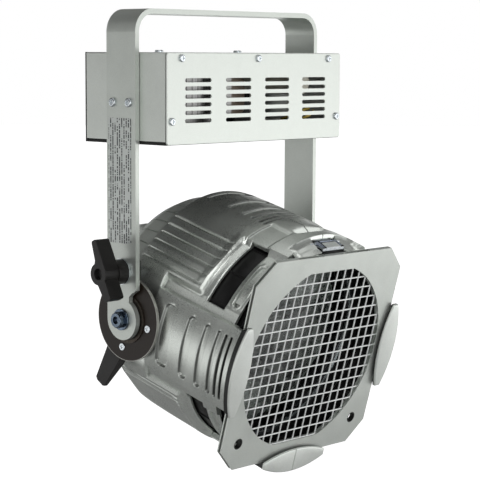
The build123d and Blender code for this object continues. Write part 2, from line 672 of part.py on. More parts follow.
# ---------------------------------------------------------------- colour frame
def octagon(size, cut):
    h = size / 2
    pts = [(-h, -h + cut), (-h + cut, -h), (h - cut, -h), (h, -h + cut)]
    pts += [(h, h - cut), (h - cut, h), (-h + cut, h), (-h, h - cut)]
    return make_face(Plane.XZ * Polyline(pts, close=True))


def opening():
    disc = rod_y(OPENING_R, -100, -140)
    return disc & block(-90, 90, -90, -150, -80, 80)


plate_f = Pos(0, -FRAME_A1 + FRAME_PLATE, 0) * extrude(octagon(FRAME_S, FRAME_CHAMFER), FRAME_PLATE)
plate_b = Pos(0, -FRAME_A0, 0) * extrude(octagon(FRAME_S, FRAME_CHAMFER), FRAME_PLATE)
frame = plate_f + plate_b - opening()
HOLE_X = 75.0
HOLE_Z = -70.5
for x in (-HOLE_X, HOLE_X):
    frame = frame - rod_y(4.2, -110, -130, x, HOLE_Z)
    eyelet = rod_y(5.6, -FRAME_A0, -FRAME_A1, x, HOLE_Z) - rod_y(4.2, -110, -130, x, HOLE_Z)
    frame = frame + eyelet
for x0, x1 in ((-75.4, -47), (-13, 13), (47, 75.4)):
    frame = frame + block(x0, x1, -FRAME_A0, -FRAME_A1, FRAME_S / 2 - 1.1, FRAME_S / 2)
frame = frame + block(-75, 75, -FRAME_A0, -FRAME_A1, -FRAME_S / 2, -FRAME_S / 2 + 1.1)
save(head(frame), "colour_frame")

MESH_A = (FRAME_A0 + FRAME_A1) / 2
verticals = []
horizontals = []
for i in range(-8, 9):
    c = i * MESH_PITCH
    half = sqrt(max(0.0, 90.0 ** 2 - c ** 2))
    verticals.append(rod_z(WIRE_D / 2, -half, half, c, -MESH_A + 0.3))
    horizontals.append(rod_x(WIRE_D / 2, -half, half, -MESH_A - 0.3, c))
ring_wire = tube(91.6, 88.6, MESH_A - 1.2, MESH_A + 1.2)
mesh = union([ring_wire] + verticals + horizontals)
save(head(mesh), "wire_mesh")

# ---------------------------------------------------------------- top latch
pin = rod_x(1.1, -18.5, 18.5, -LATCH_A, LATCH_UP)
save(head(pin), "latch_pin")
latch = []
for s in (-1, 1):
    eye = rod_x(2.1, s * 11.6, s * 13.6, -LATCH_A, LATCH_UP)
    latch.append(eye - rod_x(1.1 + RUN, -20, 20, -LATCH_A, LATCH_UP))
    latch.append(block(s * 11.6, s * 13.6, -LATCH_A - 1.5, -LIP_A, 98.6, LATCH_UP))
latch.append(block(-13.6, 13.6, -LIP_A + 3.4, -LIP_A, 98.6, 99.6))
latch.append(block(-13.6, 13.6, -LIP_A + 0.9, -LIP_A, 97.5, 100.4))
save(head(union(latch)), "latch_plate")
coils = []
for i in range(14):
    x = -8.0 + i * 1.15
    turn = rod_x(2.5, x, x + 0.95, -LATCH_A, LATCH_UP)
    coils.append(turn - rod_x(1.5, -20, 20, -LATCH_A, LATCH_UP))
core_tube = rod_x(2.1, -8.0, 7.9, -LATCH_A, LATCH_UP) - rod_x(1.5, -20, 20, -LATCH_A, LATCH_UP)
coils.append(core_tube)
for x in (-7.5, 7.5):
    coils.append(rod_y(0.45, -LATCH_A - 1.5, -LIP_A + 1.6, x, 97.75))
save(head(union(coils)), "latch_spring")
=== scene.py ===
import bpy
import bmesh
import math
import numpy as np
from mathutils import Matrix, Vector


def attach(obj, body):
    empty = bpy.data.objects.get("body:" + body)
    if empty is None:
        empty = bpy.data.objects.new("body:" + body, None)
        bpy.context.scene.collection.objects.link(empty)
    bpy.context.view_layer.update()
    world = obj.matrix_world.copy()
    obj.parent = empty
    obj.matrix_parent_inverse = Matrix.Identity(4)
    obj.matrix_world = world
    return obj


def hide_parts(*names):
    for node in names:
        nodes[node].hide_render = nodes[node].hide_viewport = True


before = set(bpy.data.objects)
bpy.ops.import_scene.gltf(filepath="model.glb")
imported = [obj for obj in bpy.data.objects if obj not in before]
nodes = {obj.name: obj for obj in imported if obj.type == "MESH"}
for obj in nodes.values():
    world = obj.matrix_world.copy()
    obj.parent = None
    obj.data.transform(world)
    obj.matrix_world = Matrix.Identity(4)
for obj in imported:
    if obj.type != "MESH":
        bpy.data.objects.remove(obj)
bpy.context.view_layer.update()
scene = bpy.context.scene
MM = 0.001
PIVOT_Z = -0.267                 # tilt axis
TILT = math.radians(15.6)        # nose down at rest
HEAD = Matrix.Translation((0, 0, PIVOT_Z)) @ Matrix.Rotation(TILT, 4, "X")


# ------------------------------------------------------------ node helpers
class Tree:
    """Short way to write a material's nodes."""

    def __init__(self, name, tree=None):
        self.tree = tree
        if tree:
            return
        self.mat = bpy.data.materials.new(name)
        self.mat.use_nodes = True
        self.tree = self.mat.node_tree
        self.bsdf = self.tree.nodes["Principled BSDF"]
        self.coords = self.tree.nodes.new("ShaderNodeTexCoord").outputs["Object"]

    def add(self, kind, **props):
        node = self.tree.nodes.new(kind)
        for key, value in props.items():
            setattr(node, key, value)
        return node

    def link(self, a, b):
        self.tree.links.new(a, b)

    def put(self, socket, value):
        if isinstance(value, bpy.types.NodeSocket):
            self.link(value, socket)
        else:
            socket.default_value = value

    def noise(self, scale, detail=2.0, rough=0.5, vector=None):
        n = self.add("ShaderNodeTexNoise")
        self.put(n.inputs["Vector"], vector or self.coords)
        n.inputs["Scale"].default_value = scale
        n.inputs["Detail"].default_value = detail
        n.inputs["Roughness"].default_value = rough
        return n.outputs["Fac"]

    def stretch(self, scale):
        m = self.add("ShaderNodeMapping")
        self.link(self.coords, m.inputs["Vector"])
        m.inputs["Scale"].default_value = scale
        return m.outputs["Vector"]

    def ramp(self, value, stops):
        r = self.add("ShaderNodeValToRGB")
        self.put(r.inputs["Fac"], value)
        el = r.color_ramp.elements
        while len(el) < len(stops):
            el.new(0.5)
        for e, (pos, col) in zip(el, stops):
            e.position = pos
            if isinstance(col, (int, float)):
                col = (col, col, col)
            e.color = (*col, 1)
        return r.outputs["Color"]

    def remap(self, value, a, b, c, d, smooth=False):
        m = self.add("ShaderNodeMapRange")
        if smooth:
            m.interpolation_type = "SMOOTHSTEP"
        self.put(m.inputs["Value"], value)
        for k, v in zip(("From Min", "From Max", "To Min", "To Max"), (a, b, c, d)):
            self.put(m.inputs[k], v)
        return m.outputs["Result"]

    def math(self, op, a, b=None, c=None):
        m = self.add("ShaderNodeMath", operation=op)
        for i, v in enumerate((a, b, c)):
            if v is not None:
                self.put(m.inputs[i], v)
        return m.outputs[0]

    def mix(self, fac, a, b, blend="MIX"):
        m = self.add("ShaderNodeMix", data_type="RGBA", blend_type=blend)
        self.put(m.inputs[0], fac)
        for sock, v in ((m.inputs[6], a), (m.inputs[7], b)):
            if isinstance(v, tuple):
                v = (*v, 1)
            self.put(sock, v)
        return m.outputs[2]

    def xyz(self, vector=None):
        s = self.add("ShaderNodeSeparateXYZ")
        self.link(vector or self.coords, s.inputs[0])
        return s.outputs

    def bump(self, height, strength, distance, normal=None):
        b = self.add("ShaderNodeBump")
        b.inputs["Strength"].default_value = strength
        b.inputs["Distance"].default_value = distance
        self.put(b.inputs["Height"], height)
        if normal:
            self.link(normal, b.inputs["Normal"])
        return b.outputs["Normal"]

    def set(self, **values):
        for key, value in values.items():
            sock = self.bsdf.inputs[key.replace("_", " ")]
            if isinstance(value, tuple):
                value = (*value, 1) if len(sock.default_value) == 4 else value
            self.put(sock, value)
        return self


def metal_paint(name, low, high, metallic, rough, grain=2200, peel=520, spread=0.07, corner_shade=0.0):
    """Sprayed silver: fine flake, faint orange peel, slow cloudiness, painted shade in the corners."""
    t = Tree(name)
    flake = t.noise(grain, 1.0, 0.6)
    cloud = t.noise(28, 3.0, 0.6)
    mixed = t.math("MULTIPLY_ADD", flake, 0.55, t.math("MULTIPLY", cloud, 0.45))
    colour = t.ramp(mixed, [(0.32, low), (0.68, high)])
    if corner_shade:
        # painted shade: ambient occlusion darkens the colour in corners and creases
        near = t.add("ShaderNodeAmbientOcclusion", samples=12, only_local=True)
        near.inputs["Distance"].default_value = 0.005
        dark = t.ramp(near.outputs["AO"], [(0.36, 1 - corner_shade), (0.78, 1.0)])
        colour = t.mix(1.0, colour, dark, "MULTIPLY")
    t.set(Base_Color=colour)
    t.set(Metallic=metallic)
    t.set(Roughness=t.remap(mixed, 0.3, 0.7, rough - spread, rough + spread))
    first = t.bump(flake, 0.10, 0.00012)
    t.set(Normal=t.bump(t.noise(peel, 2.0), 0.16, 0.00025, first))
    return t.mat


def plain_metal(name, low, high, rough, scale=900, brush=(1, 1, 1), metallic=1.0):
    t = Tree(name)
    n = t.noise(scale, 3.0, 0.6, t.stretch(brush))
    t.set(Base_Color=t.ramp(n, [(0.3, low), (0.7, high)]))
    t.set(Metallic=metallic)
    t.set(Roughness=t.remap(n, 0.3, 0.7, rough * 0.75, rough * 1.25))
    t.set(Normal=t.bump(n, 0.06, 0.0002))
    return t.mat


def plastic(name, low, high, rough, shine=0.5):
    """Moulded plastic: fine spark texture, slightly uneven gloss."""
    t = Tree(name)
    fine = t.noise(1400, 2.0, 0.7)
    slow = t.noise(45, 2.0)
    both = t.math("MULTIPLY_ADD", fine, 0.4, t.math("MULTIPLY", slow, 0.6))
    t.set(Base_Color=t.ramp(both, [(0.3, low), (0.7, high)]))
    t.set(Roughness=t.remap(both, 0.3, 0.7, rough - 0.07, rough + 0.09))
    t.set(Normal=t.bump(fine, 0.2, 0.00015))
    t.bsdf.inputs["Specular IOR Level"].default_value = shine
    return t.mat


SHEET_PAINT = ((0.56, 0.59, 0.555), (0.69, 0.725, 0.685), 0.72, 0.40)
# the last value sets how strong the painted shade in corners and creases is
CAST_PAINT = ((0.56, 0.59, 0.555), (0.74, 0.775, 0.73), 0.84, 0.30, 1900, 420, 0.07, 0.88)
mats = {}
mats["silver_paint"] = metal_paint("silver_paint_finish", *SHEET_PAINT)
mats["cast_silver"] = metal_paint("cast_silver_finish", *CAST_PAINT)
# near-black chassis sheet: painted shade, standing in for the shadow gap round the side covers
mats["black_sheet"] = plastic("black_sheet_shade_finish", (0.006, 0.0065, 0.006), (0.016, 0.017, 0.016), 0.42,
                              shine=0.3)
mats["zinc"] = plain_metal("zinc_finish", (0.46, 0.50, 0.53), (0.74, 0.78, 0.80), 0.22)
mats["rubber_black"] = plastic("rubber_finish", (0.010, 0.010, 0.010), (0.022, 0.022, 0.022), 0.75)
mats["black_plastic"] = plastic("black_plastic_finish", (0.006, 0.0058, 0.0055), (0.016, 0.015, 0.014), 0.36,
                                shine=0.32)
mats["terminal"] = plastic("terminal_finish", (0.55, 0.54, 0.50), (0.66, 0.65, 0.61), 0.5)
mats["ignitor_can"] = plastic("ignitor_finish", (0.02, 0.02, 0.022), (0.04, 0.04, 0.044), 0.4)
mats["capacitor_can"] = plastic("capacitor_finish", (0.62, 0.60, 0.50), (0.74, 0.72, 0.62), 0.35)
mats["brass"] = plain_metal("brass_finish", (0.50, 0.36, 0.13), (0.74, 0.58, 0.27), 0.28)
mats["wire_yellow"] = plastic("wire_yellow_finish", (0.52, 0.36, 0.05), (0.66, 0.48, 0.09), 0.4)
mats["wire_brown"] = plastic("wire_brown_finish", (0.07, 0.03, 0.014), (0.12, 0.05, 0.025), 0.4)
mats["mesh_wire"] = plain_metal("mesh_wire_finish", (0.76, 0.78, 0.77), (0.92, 0.94, 0.93), 0.38, 1500,
                                metallic=0.6)
mats["spring_steel"] = plain_metal("spring_steel_finish", (0.20, 0.23, 0.29), (0.42, 0.47, 0.55), 0.22)
mats["ceramic"] = plastic("ceramic_finish", (0.70, 0.68, 0.62), (0.82, 0.80, 0.75), 0.5)
mats["coil"] = plastic("coil_finish", (0.16, 0.12, 0.09), (0.27, 0.22, 0.17), 0.4)
mats["core_steel"] = plain_metal("core_finish", (0.22, 0.22, 0.22), (0.42, 0.42, 0.41), 0.4, 60, (8, 1, 1))
# near-black rings in the gaps round the head's front: painted shade, standing in for the shadow in those
# gaps
mats["ring_black"] = plastic("ring_black_shade_finish", (0.004, 0.004, 0.004), (0.010, 0.010, 0.010), 0.36,
                             shine=0.25)


def head_axes(t):
    """Forward and upward distances from the pivot along the tilted head, in metres."""
    out = t.xyz()
    up = t.math("SUBTRACT", out["Z"], PIVOT_Z)
    cos, sin = math.cos(TILT), math.sin(TILT)
    forward = t.math("MULTIPLY_ADD", out["Y"], -cos, t.math("MULTIPLY", up, -sin))
    rise = t.math("MULTIPLY_ADD", up, cos, t.math("MULTIPLY", out["Y"], -sin))
    return out["X"], forward, rise


def darkened(mat, t, dark):
    """Multiply the finish's colour by a grey factor."""
    base = t.bsdf.inputs["Base Color"]
    source = base.links[0].from_socket
    t.link(t.mix(1.0, source, t.ramp(dark, [(0.0, 0.05), (1.0, 1.0)]), "MULTIPLY"), base)
    return mat


def reopened(mat):
    t = Tree(None, mat.node_tree)
    t.mat = mat
    t.bsdf = t.tree.nodes["Principled BSDF"]
    t.coords = t.add("ShaderNodeTexCoord").outputs["Object"]
    return t


def shell_material():
    """Cast paint, with painted shade along the outlines that the mesh marks."""
    mat = metal_paint("shell_cast_finish", *CAST_PAINT)
    t = reopened(mat)
    # painted shade: the mesh's outline attribute darkens the colour down to 0.12
    mark = t.add("ShaderNodeAttribute", attribute_name="painted_outline_shade").outputs["Fac"]
    return darkened(mat, t, t.remap(mark, 0.0, 1.0, 1.0, 0.12))


def lug_material():
    """Cast paint, with painted shade inside the slot behind the lug's cap."""
    mat = metal_paint("lug_cast_finish", (0.68, 0.71, 0.675), (0.83, 0.865, 0.825), 0.62, 0.40, 1900, 420)
    t = reopened(mat)
    forward = head_axes(t)[1]
    slot_front = 0.1256
    # painted shade: the colour goes dark behind the cap's front, where the slot lies in shadow
    return darkened(mat, t, t.remap(forward, slot_front, slot_front + 0.001, 0.0, 1.0, True))


def frame_material():
    """Painted sheet; painted shade darkens the two eyelets' rims."""
    mat = metal_paint("frame_sheet_finish", *SHEET_PAINT)
    t = reopened(mat)
    eyelet_x, eyelet_rise, eyelet_r = 0.075, -0.0705, 0.0052
    x, forward, rise = head_axes(t)
    across = t.math("SUBTRACT", t.math("ABSOLUTE", x), eyelet_x)
    rise = t.math("SUBTRACT", rise, eyelet_rise)
    r = t.math("SQRT", t.math("ADD", t.math("POWER", across, 2), t.math("POWER", rise, 2)))
    # painted shade: the colour goes dark within the eyelet radius
    return darkened(mat, t, t.remap(r, eyelet_r - 0.0003, eyelet_r, 0.0, 1.0, True))


def label_material():
    """Light foil with rows of meaningless dashes along its length."""
    t = Tree("label_finish")
    out = t.xyz()
    row_pitch = 0.0028
    rows = t.math("MULTIPLY", out["Y"], 1 / row_pitch)
    row = t.math("FRACT", rows)
    index = t.math("FLOOR", rows)
    band = t.math("MULTIPLY", t.math("GREATER_THAN", row, 0.32), t.math("LESS_THAN", row, 0.80))
    shift = t.add("ShaderNodeCombineXYZ")
    t.put(shift.inputs[0], t.math("MULTIPLY", index, 7.31))
    t.put(shift.inputs[2], t.math("MULTIPLY", out["Z"], 900.0))
    dash = t.noise(1.0, 1.0, 0.5, shift.outputs[0])
    word = t.add("ShaderNodeCombineXYZ")
    t.put(word.inputs[0], t.math("MULTIPLY", index, 3.77))
    t.put(word.inputs[2], t.math("MULTIPLY", out["Z"], 110.0))
    gap = t.noise(1.0, 0.0, 0.5, word.outputs[0])
    ink = t.math("MULTIPLY", band, t.math("GREATER_THAN", dash, 0.43))
    ink = t.math("MULTIPLY", ink, t.math("GREATER_THAN", gap, 0.40))
    foil = t.ramp(t.noise(1800, 1.0), [(0.3, (0.50, 0.53, 0.51)), (0.7, (0.60, 0.63, 0.61))])
    t.set(Base_Color=t.mix(ink, foil, (0.035, 0.04, 0.04)))
    t.set(Metallic=t.remap(ink, 0, 1, 0.45, 0.0))
    t.set(Roughness=t.remap(ink, 0, 1, 0.36, 0.5))
    return t.mat


def fibre_material():
    """Brake disc: dark brown fibre, faint streaks round its hub, its turned rim worn bright."""
    t = Tree("brake_fibre_finish")
    out = t.xyz()
    up = t.math("SUBTRACT", out["Z"], PIVOT_Z)
    r = t.math("SQRT", t.math("ADD", t.math("POWER", out["Y"], 2), t.math("POWER", up, 2)))
    rim_r, hub_r = 0.0371, 0.0216
    rim = t.remap(r, rim_r - 0.0005, rim_r, 0, 1, True)
    fine = t.noise(1600, 3.0, 0.7)
    weave = t.noise(420, 2.0, 0.5, t.stretch((1, 6, 1)))
    both = t.math("MULTIPLY_ADD", fine, 0.5, t.math("MULTIPLY", weave, 0.5))
    dark = t.ramp(both, [(0.3, (0.011, 0.007, 0.005)), (0.7, (0.026, 0.018, 0.013))])
    t.bsdf.inputs["Specular IOR Level"].default_value = 0.25
    hub = t.remap(r, hub_r, hub_r - 0.0003, 0, 1, True)
    worn = t.mix(hub, dark, t.ramp(weave, [(0.35, (0.03, 0.024, 0.019)), (0.65, (0.085, 0.072, 0.06))]))
    t.set(Base_Color=t.mix(rim, worn, (0.42, 0.42, 0.39)))
    t.set(Metallic=t.math("MAXIMUM", t.remap(rim, 0, 1, 0.0, 0.8), t.remap(hub, 0, 1, 0.0, 0.7)))
    t.set(Roughness=t.remap(both, 0.3, 0.7, 0.26, 0.42))
    t.set(Normal=t.bump(both, 0.15, 0.0001))
    return t.mat


def mirror_material():
    t = Tree("mirror_finish")
    n = t.noise(130, 1.0)
    t.set(Base_Color=t.ramp(t.noise(900, 2.0), [(0.3, (0.60, 0.63, 0.61)), (0.7, (0.74, 0.77, 0.75))]))
    t.set(Metallic=1.0)
    t.set(Roughness=t.remap(n, 0.3, 0.7, 0.20, 0.30))
    return t.mat


def glass_material(name, tint, rough):
    t = Tree(name)
    n = t.noise(500, 2.0)
    t.set(Base_Color=t.ramp(n, [(0.3, tint), (0.7, (1, 1, 1))]))
    t.set(Roughness=t.remap(n, 0.3, 0.7, rough * 0.6, rough * 1.4))
    t.bsdf.inputs["Transmission Weight"].default_value = 1.0
    t.bsdf.inputs["IOR"].default_value = 1.47
    return t.mat


mats["label"] = label_material()
mats["brake_fibre"] = fibre_material()
mats["mirror"] = mirror_material()
mats["lens_glass"] = glass_material("lens_glass_finish", (0.93, 0.96, 0.94), 0.06)
mats["lamp_glass"] = glass_material("lamp_glass_finish", (0.94, 0.96, 0.96), 0.03)
mats["arc"] = glass_material("arc_finish", (0.86, 0.87, 0.86), 0.25)

finishes = {}
finishes["blued_steel"] = plain_metal("blued_steel_finish", (0.05, 0.07, 0.10), (0.17, 0.21, 0.26), 0.16,
                                      700)
finishes["galvanised"] = plain_metal("galvanised_finish", (0.52, 0.55, 0.53), (0.72, 0.75, 0.73), 0.42, 700,
                                     metallic=0.5)
finishes["lug_cast"] = lug_material()
finishes["shell_cast"] = shell_material()
finishes["yoke_bar"] = metal_paint("yoke_bar_finish", (0.50, 0.53, 0.495), (0.62, 0.655, 0.615), 0.76, 0.40)
finishes["frame_sheet"] = frame_material()
finishes["rear_cast"] = metal_paint("rear_cast_finish", (0.46, 0.49, 0.455), (0.60, 0.635, 0.59), 0.35, 0.42,
                                    1900, 420)

for o in nodes.values():
    slot_name = o.data.materials[0].name.split(".")[0]
    o.data.materials[0] = mats[slot_name]
for name, finish in (("pivot_bolts", "blued_steel"), ("pivot_washers", "blued_steel"),
                     ("yoke_bar", "yoke_bar"), ("rear_housing", "rear_cast"),
                     ("colour_frame", "frame_sheet")):
    nodes[name].data.materials[0] = finishes[finish]


def soften(name, width):
    """Round the hard edges of a CAD node: join its split faces, bevel, keep flat faces flat."""
    o = nodes[name]
    weld = o.modifiers.new("join", "WELD")
    weld.merge_threshold = 1e-6
    bevel = o.modifiers.new("round", "BEVEL")
    bevel.limit_method = "ANGLE"
    bevel.angle_limit = math.radians(40)
    bevel.width = width * MM
    bevel.segments = 2
    bevel.harden_normals = True


for name, width in (("tilt_handle", 0.6), ("tilt_grip", 0.6), ("box_side_pads", 0.6),
                    ("pivot_bolts", 0.35), ("pivot_washers", 0.3), ("pivot_spacers", 0.4),
                    ("latch_plate", 0.12), ("lens_ring", 0.35), ("ballast_cover", 0.3), ("clamp_shoe", 0.4)):
    soften(name, width)


# ------------------------------------------------------------ head shells
R_BODY, R_FLAT = 106.5, 102.6
A_REAR, A_HOOD, A_WIN, A_COLLAR, A_FRONT = -19.0, 63.0, 90.0, 112.0, 117.6
A_CHEEK, A_CHEEK_END = 20.5, 123.0
A_SILL = 69.5
CHEEK_HALF = 20.35
SIDE_X = 99.0
TOP_BANDS = [(-14.5, 12.5), (12.6, 9.0), (31.0, 6.0), (42.8, 4.2), (52.3, 2.6), (58.2, 1.9)]
SIDE_BANDS = [(35.0, 13.4), (64.0, 9.0), (83.5, 6.5), (98.0, 4.5), (106.6, 3.0), (113.2, 2.2)]
WINDOWS = [(28.5, 65.3), (114.7, 151.5)]
CORNER_GAPS = [(54.0, 69.0), (111.0, 126.0)]
GROOVES = [44.5 + math.degrees(math.atan((9.2 * i - 17.5) / R_FLAT)) for i in range(6)]
FINE_GROOVES = [120.2, 122.8, 125.2]
NOTCH = 8.75
DEG = math.pi / 180


def step(x, e0, e1):
    t = np.clip((x - e0) / (e1 - e0), 0, 1)
    return t * t * (3 - 2 * t)


def soft_min(x, y, k):
    h = np.clip(0.5 + 0.5 * (y - x) / k, 0, 1)
    return y + (x - y) * h - k * h * (1 - h)


def rounded_rect(u, v, hu, hv, corner):
    qu, qv = np.abs(u) - hu + corner, np.abs(v) - hv + corner
    outside = np.hypot(np.maximum(qu, 0), np.maximum(qv, 0))
    return outside + np.minimum(np.maximum(qu, qv), 0) - corner


def band_distances(a, off, bands, half_span):
    """For each pressed arc, its width and the distance outside its outline."""
    arc = off * DEG * R_BODY
    half = half_span * DEG * R_BODY
    for start, width in bands:
        corner = min(width / 2 - 0.05, 4.5)
        yield width, rounded_rect(a - start - width / 2, arc, width / 2, half, corner)


def band_depth(a, off, bands, half_span):
    """Depth of the pressed arcs at (a, degrees from their middle)."""
    depth = np.zeros_like(a)
    for width, d in band_distances(a, off, bands, half_span):
        depth = np.maximum(depth, 2.3 * step(-d, -0.30, min(0.75, width / 2)))
    return depth


def outline_shade(a, p):
    """Painted shade mask: 1 on the outline of a pressed arc and on the parting line, falling to 0 within a
    millimetre.
    """
    top = np.minimum(p, 180 - p)
    painted_outline_shade = np.exp(-((top * DEG * R_BODY / 0.5) ** 2))
    rows = list(band_distances(a, top, TOP_BANDS, 15.6)) + list(band_distances(a, p - 90, SIDE_BANDS, 15.4))
    for width, d in rows:
        painted_outline_shade = np.maximum(painted_outline_shade, np.exp(-(((d + 0.2) / 0.45) ** 2)))
    return painted_outline_shade


def away(a, p):
    """Distance outside the nearest opening or free edge, mm, for rounding the rims."""
    d = np.minimum(a - A_REAR, 40.0)
    for lo, hi in WINDOWS:
        u = np.maximum(A_SILL - a, a - A_WIN)
        v = np.maximum(lo - p, p - hi) * DEG * R_BODY
        d = np.minimum(d, np.maximum(u, v))
    return d


def outer(a, p):
    """Outside radius of the right-hand shell at forward distance a and angle p from the top."""
    r = np.interp(a, [-19, -10, 5, 21, 130], [104.6, 105.6, 106.2, R_BODY, R_BODY])
    in_hood = 1 - step(a, 60.5, 64.0)
    for centre in (44.5, 135.5):
        off = np.clip((p - centre) * DEG, -1.0, 1.0)
        lip = 2.4 * step(a, 51.0, 58.5)
        flat = (R_FLAT + lip) / np.cos(off)
        r = np.where(np.abs(p - centre) < 40, r + in_hood * (soft_min(r, flat, 1.6) - r), r)
    # the hood's front edge rolls over and slopes down into each window
    for lo, hi in WINDOWS:
        inside = step(p, lo - 0.2, lo + 1.8) * (1 - step(p, hi - 1.8, hi + 0.2))
        sill = np.interp(a, [60.0, 61.4, 63.4, 66.0, A_SILL], [R_BODY, 104.5, 102.9, 101.8, 100.9])
        r = np.where(a > 60, r + inside * (np.minimum(r, sill) - r), r)
    side = p - 90
    off = np.abs(side)
    # channel beside the side panel, shallower below
    floor = np.where(side < 0, 101.6, 103.6)
    edge = np.where(side < 0, step(off, 25.0, 28.2), step(off, 26.9, 28.2))
    panel = 1 - step(off, CHEEK_HALF - 0.45, CHEEK_HALF + 0.55)
    channel = floor + (r - floor) * edge
    shaped = channel + (R_BODY - channel) * panel
    front = np.where(off < 27.5, step(a, A_CHEEK - 0.9, A_CHEEK + 0.7), 0)
    recess = soft_min(SIDE_X / np.cos(np.clip(side * DEG, -1, 1)), r, 3.0)
    near = np.where(off < 30, 1, 0)
    r = np.where(near > 0, recess + (shaped - recess) * front, r)
    # struts between hood and collar stand lower
    top = np.minimum(p, 180 - p)
    strut = step(a, 63.0, 64.4) * (1 - step(a, 87.0, 88.4)) * step(top, 12.6, 13.8)
    strut = strut * (1 - step(top, 28.4, 28.9))
    r = r - 1.3 * strut
    # V dip across the seam
    dip = 102.4 + np.abs(a - 87.0) * (5.1 / 9.0)
    in_dip = 1 - step(top, 10.0, 10.9)
    r = r + in_dip * (soft_min(r, dip / np.cos(top * DEG), 0.5) - r)
    # pressed arcs
    r = r - band_depth(a, top, TOP_BANDS, 15.6)
    r = r - band_depth(a, side, SIDE_BANDS, 15.4) * (off < 19)
    # lengthwise grooves
    for angle in GROOVES:
        d = rounded_rect(a - 21.2, (p - angle) * DEG * R_FLAT, 37.8, 0.95, 0.9)
        r = r - 1.0 * step(-d, -0.3, 0.75)
    for angle in FINE_GROOVES:
        d = rounded_rect(a - 21.2, (p - angle) * DEG * R_FLAT, 37.8, 0.8, 0.75)
        r = r - 0.8 * step(-d, -0.3, 0.7)
    # loop pressed into the collar: raised rim round a deep valley
    d = rounded_rect(a - 99.2, (top - 49.5) * DEG * R_BODY, 3.6, 23.0, 3.5)
    loop = 1.2 * np.exp(-(((d - 0.9) / 0.9) ** 2)) - 3.2 * step(-d, -0.2, 2.4)
    r = r + np.where((a > 90) & (a < 107.4) & (off > 27), loop, 0)
    # the tongue's front rolls over and hollows down to the frame seat
    corner = 10.0 * step(top, 19.0, 26.0) ** 2
    slope = np.interp(a - corner, [102.5, 103.2, 104.6, 107.0, 110.9, 112.0, A_FRONT],
                      [R_BODY, 105.4, 103.6, 101.9, 100.5, 99.7, 98.2])
    r = np.where((top < 26.5) & (a > 102.5), np.minimum(r, slope), r)
    # parting line
    seam = np.minimum(top * DEG * R_BODY, 5)
    r = r - 0.9 * (1 - step(seam, 0.25, 0.7))
    # rounded rims
    d = np.clip(away(a, p), 0, 1.1)
    return r - (1.1 - np.sqrt(np.maximum(1.21 - (1.1 - d) ** 2, 0)))


def inner(a, p):
    """Inside radius of the shell."""
    off = np.abs(p - 90)
    top = np.minimum(p, 180 - p)
    r = np.full_like(a, R_BODY - 3.4)
    for centre in (44.5, 135.5):
        c = np.clip((p - centre) * DEG, -1, 1)
        near = np.abs(p - centre) < 40
        r = np.where(near, np.minimum(r, (R_FLAT - 3.2) / np.cos(c)), r)
    recess = 95.6 / np.cos(np.clip((p - 90) * DEG, -1, 1))
    r = np.where((off < 30) & (a < A_CHEEK + 0.1), np.minimum(r, recess), r)
    r = np.where((off < 30) & (a >= A_CHEEK), 98.8, r)
    r = np.where((a >= A_HOOD) & (off >= 30), 100.0, r)
    for lo, hi in WINDOWS:
        r = np.where((a > 60) & (a <= A_SILL) & (p > lo) & (p < hi), 98.3, r)
    return np.where((a > 110.9) & (top < 27), 97.2, r)


def lines(lo, hi, pitch, marks, reach):
    """Grid lines: even ones and closer ones round each mark."""
    out = list(np.arange(lo, hi, pitch)) + [lo, hi]
    for m, offsets in marks:
        out += [m + o for o in offsets]
    out = sorted(v for v in out if lo <= v <= hi)
    exact = {m for m, offsets in marks if 0 in offsets} | {lo, hi}
    kept = [out[0]]
    for v in out[1:]:
        if v - kept[-1] > reach:
            kept.append(v)
        elif v in exact and kept[-1] not in exact:
            kept[-1] = v
    return np.array(kept)


